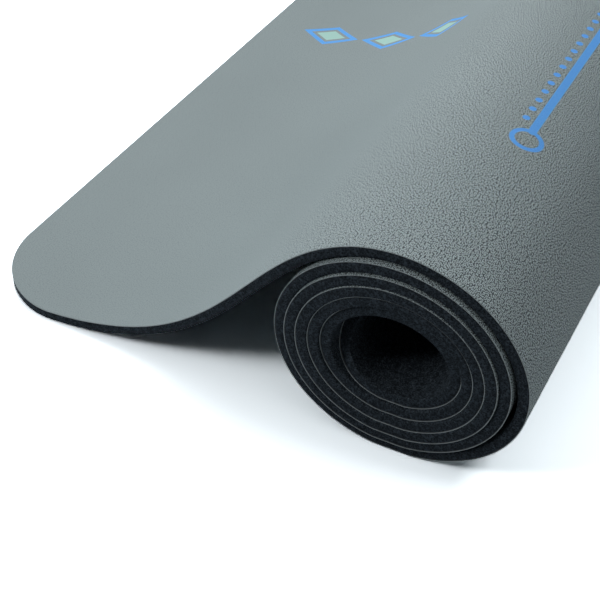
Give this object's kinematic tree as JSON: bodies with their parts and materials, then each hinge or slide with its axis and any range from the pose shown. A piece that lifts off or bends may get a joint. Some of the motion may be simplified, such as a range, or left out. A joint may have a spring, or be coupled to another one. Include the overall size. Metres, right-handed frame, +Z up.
{
  "type": "yoga mat",
  "caption": "Thick yoga mat of coated skin bonded to a foamed rubber base, rolled up from one end with its free end laid flat on the floor.",
  "frame": {"origin": "middle of the space that the mat takes up, on the floor that it rests on", "axes": "+X along the mat from its flat free end towards the roll, +Y along the roll, +Z up"},
  "size_m": [0.3128, 0.6844, 0.1151],
  "materials": {
    "foamed_rubber": "matte, fine closed-cell foam with a moulded grip grain underneath",
    "backing_cloth": "thin woven carrier cloth, seen only as a line on the cut edge",
    "skin_film": "satin coated skin with a fine pebbled grain"
  },
  "bodies": {
    "root": {"rubber_base": "foamed_rubber", "woven_backing": "backing_cloth", "coated_skin": "skin_film"}
  },
  "joints": []
}
